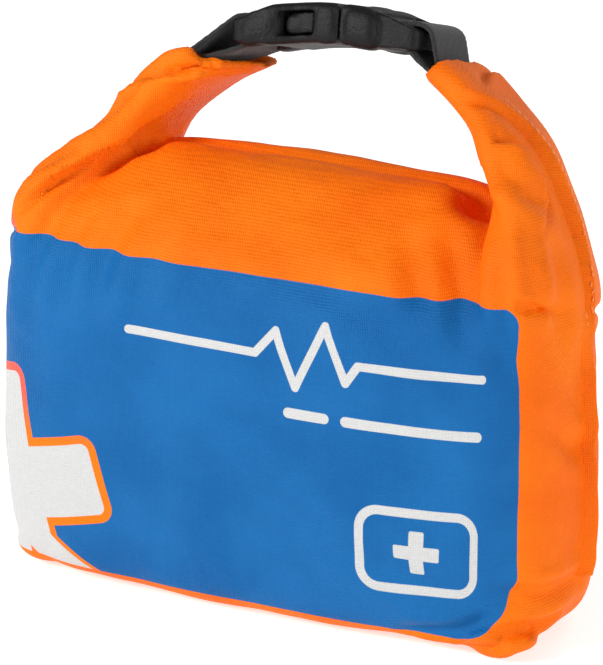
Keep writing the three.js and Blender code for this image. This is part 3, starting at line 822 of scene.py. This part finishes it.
finishes = {
    "webbing": woven_tape("black_webbing", (0.004, 0.004, 0.005), (0.022, 0.022, 0.025)),
    "buckle_plastic": moulded_plastic(),
    "mouth_strip": plain_finish("mouth_strip", (0.6, 0.63, 0.65), (0.75, 0.77, 0.78), 700, 0.3, 0.0001),
    "gauze": woven_tape("cotton_gauze", (0.55, 0.53, 0.49), (0.85, 0.83, 0.78), 0.8),
    "triangular_cloth": woven_tape("triangular_cloth", (0.5, 0.42, 0.33), (0.72, 0.64, 0.54), 0.6),
    "paper_pack": plain_finish("sealed_paper", (0.62, 0.64, 0.63), (0.82, 0.83, 0.81), 500, 0.6),
    "card": plain_finish("pressed_card", (0.28, 0.2, 0.12), (0.42, 0.32, 0.21), 600, 0.8),
    "tape": woven_tape("cloth_tape", (0.6, 0.56, 0.48), (0.82, 0.79, 0.71), 0.7),
    "glove_rubber": plain_finish("nitrile", (0.02, 0.08, 0.32), (0.05, 0.15, 0.5), 400, 0.5),
    "blanket_foil": plain_finish(
        "gold_film", (0.6, 0.38, 0.1), (0.85, 0.6, 0.22), 160, 0.2, 0.0008, Metallic=0.9
    ),
    "leaflet_paper": plain_finish("leaflet_paper", (0.68, 0.68, 0.64), (0.85, 0.85, 0.82), 500, 0.7),
    "steel": plain_finish(
        "brushed_steel", (0.45, 0.46, 0.47), (0.62, 0.63, 0.64), 1500, 0.25, 0.0001, Metallic=1.0
    ),
}


def dress(made, material):
    made.data.materials.clear()
    made.data.materials.append(material)


# ---------------------------------------------------------------- build the cloth
# Where each arm is cut off the bag: a point on the cut, and the way out along the arm.
ARM_BENDS = {
    "right": (Vector((58, 1.5, 105)) * MM, Vector((0.35, 0.1, 0.93)) * 12 * MM),
    "left": (Vector((-58, 1.5, 102)) * MM, Vector((-0.35, 0.1, 0.93)) * 9 * MM),
}
# The left cuff reaches under the buckle, so from here it is cut off the arm as a piece of its own.
CUFF_BEND = (Vector((-36.5, 16.4, 122.8)) * MM, Vector((0.85, 0.19, 0.49)) * 9 * MM)
printed_cloth, plain_cloth = cloth_finish("orange_cloth_printed", True), cloth_finish("orange_cloth", False)
thread = thread_finish()

bag = soft_shell()
soften(bag)
bag.name = "bag_cloth"

# Each row of stitches: its name, its line, and the arm that it lies on, if any; only the rows off the arms go with
# the bag.
seams = [
    ("right_seam_stitching", [(76, 5, 20), (76, 5, 50), (76, 6, 74), (72, 12, 92)], None),
    (
        "right_arm_stitching",
        [(69.5, 14, 99), (66, 16, 106), (61, 16, 116), (55, 15, 125), (48, 14, 131)],
        "right",
    ),
    ("left_seam_stitching", [(-76, 5, 20), (-76, 5, 50), (-76, 6, 72), (-73, 10, 88)], None),
]
for name, line, arm in seams:
    row = stitch_line(bag, name, line)
    dress(row, thread)
    if arm:
        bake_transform(row)
    else:
        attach(row, "bag")

for name, side in (("right", 1), ("left", -1)):
    flange = side_flange(bag, name + "_side_flange", side)
    dress(flange, plain_cloth)
    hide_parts(name + "_side_seam")
    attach(flange, "bag")

arms = {n: cut_off(bag, n + "_arm_cloth", start, start + way) for n, (start, way) in ARM_BENDS.items()}
cuff = cut_off(arms["left"], "left_cuff_cloth", CUFF_BEND[0], sum(CUFF_BEND, Vector()))
map_print(cuff)
dress(cuff, plain_cloth)
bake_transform(cuff)
for name, arm in arms.items():
    map_print(arm)
    dress(arm, plain_cloth)
    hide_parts(name + "_arm_roll")
    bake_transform(arm)

map_print(bag)
dress(bag, printed_cloth)
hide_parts("front_panel", "back_panel", "base_panel", "top_roll")
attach(bag, "bag")

for node, at in (
    ("top_mouth_strip", roll_strip_point),
    ("right_mouth_strip", arm_strip_point(RIGHT_ARM)),
    ("left_mouth_strip", arm_strip_point(LEFT_ARM)),
):
    strip = flexible_strip(node + "_flexed", at)
    dress(strip, finishes["mouth_strip"])
    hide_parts(node)
    side = node.split("_")[0]
    if side in ARM_BENDS:
        side + "_arm"
        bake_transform(strip)
    else:
        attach(strip, "bag")

# ---------------------------------------------------------------- build the buckle and its webbing
PADS = {
    "buckle_female": [
        ((-17.5, -9.2, 0), (6.2, 4.4, 4.6)),
        ((-17.5, 9.2, 0), (6.2, 4.4, 4.6)),
        ((0.6, -12.2, 0), (3.2, 1.7, 4.9)),
        ((0.6, 12.2, 0), (3.2, 1.7, 4.9)),
        ((-6, 0, 4.6), (8.5, 6, 0.9)),
    ],
    "buckle_male": [
        ((9.8, -10, 0), (5.2, 4.2, 5.2)),
        ((9.8, 10, 0), (5.2, 4.2, 5.2)),
        ((9, 0, 4.6), (1.1, 7, 1.0)),
        ((12.2, 0, 4.2), (1.0, 7, 1.0)),
    ],
    "buckle_prong_front": [((-7.6, -10.4, 0), (3.4, 1.5, 2.5))],
    "buckle_prong_back": [((-7.6, 10.4, 0), (3.4, 1.5, 2.5))],
}
BODY = {n: body for body, members in frame["record"]["behaviour"]["bodies"].items() for n in members}
for node, pads in PADS.items():
    half = moulded(node, 0.42, 4, pads)
    dress(half, finishes["buckle_plastic"])
    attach(half, BODY[node])

for side, half in (("right", "male_half"), ("left", "female_half")):
    strap = moulded(side + "_webbing", 0.5, 3)
    dress(strap, finishes["webbing"])
    pivot = male_pivot if side == "right" else female_pivot
    inwards = ALONG * (-1 if side == "right" else 1)
    side + "_arm"
    pivot - inwards * 0.004
    pivot + inwards * 0.004
    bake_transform(strap)

for row in frame["record"]["subparts"]:
    node = frame["nodes"][row["node"]]
    if row["material_slot"] in finishes and not node.hide_render:
        node.data.materials.clear()
        node.data.materials.append(finishes[row["material_slot"]])


# ---------------------------------------------------------------- floor, light and camera
def studio():
    bm = bmesh.new()
    bmesh.ops.create_grid(bm, x_segments=2, y_segments=2, size=3)
    floor = piece("floor", bm)
    paper = Finish("pale_floor", Specular_IOR_Level=0.1, Emission_Color=(1, 1, 1, 1), Emission_Strength=0.62)
    shade = paper.mix(paper.noise(3), (0.68, 0.68, 0.68), (0.72, 0.72, 0.72))
    floor.data.materials.append(paper.wear(Base_Color=shade, Roughness=0.9))

    world = bpy.data.worlds.new("studio")
    world.use_nodes = True
    background = world.node_tree.nodes["Background"]
    background.inputs["Color"].default_value = (1, 1, 1, 1)
    background.inputs["Strength"].default_value = 0.26
    bpy.context.scene.world = world
    bpy.context.scene.view_settings.view_transform = "Standard"

    for name, place, size, power in (
        ("key", (-0.62, -0.85, 0.62), 0.3, 11.5),
        ("fill", (0.95, -0.4, 0.4), 0.35, 5),
        ("rim", (0.2, 0.9, 0.7), 0.5, 3),
    ):
        lamp = bpy.data.lights.new(name, "AREA")
        lamp.size, lamp.energy = size, power
        light = bpy.data.objects.new(name, lamp)
        light.location = place
        light.rotation_euler = (Vector((0, 0, 0.07)) - Vector(place)).to_track_quat("-Z", "Y").to_euler()
        bpy.context.scene.collection.objects.link(light)


def camera(azimuth, elevation, distance, lens, target):
    turn, rise = math.radians(azimuth), math.radians(elevation)
    back = Vector((math.sin(turn) * math.cos(rise), -math.cos(turn) * math.cos(rise), math.sin(rise)))
    data = bpy.data.cameras.new("camera")
    data.lens, data.sensor_width = lens, 36
    data.clip_start, data.clip_end = 0.01, 20
    seen = bpy.data.objects.new("camera", data)
    seen.location = Vector(target) + back * distance
    seen.rotation_euler = (-back).to_track_quat("-Z", "Y").to_euler()
    bpy.context.scene.collection.objects.link(seen)
    bpy.context.scene.camera = seen


studio()
camera(27, 20, 1.2, 265, (0, 0, 0.0663))
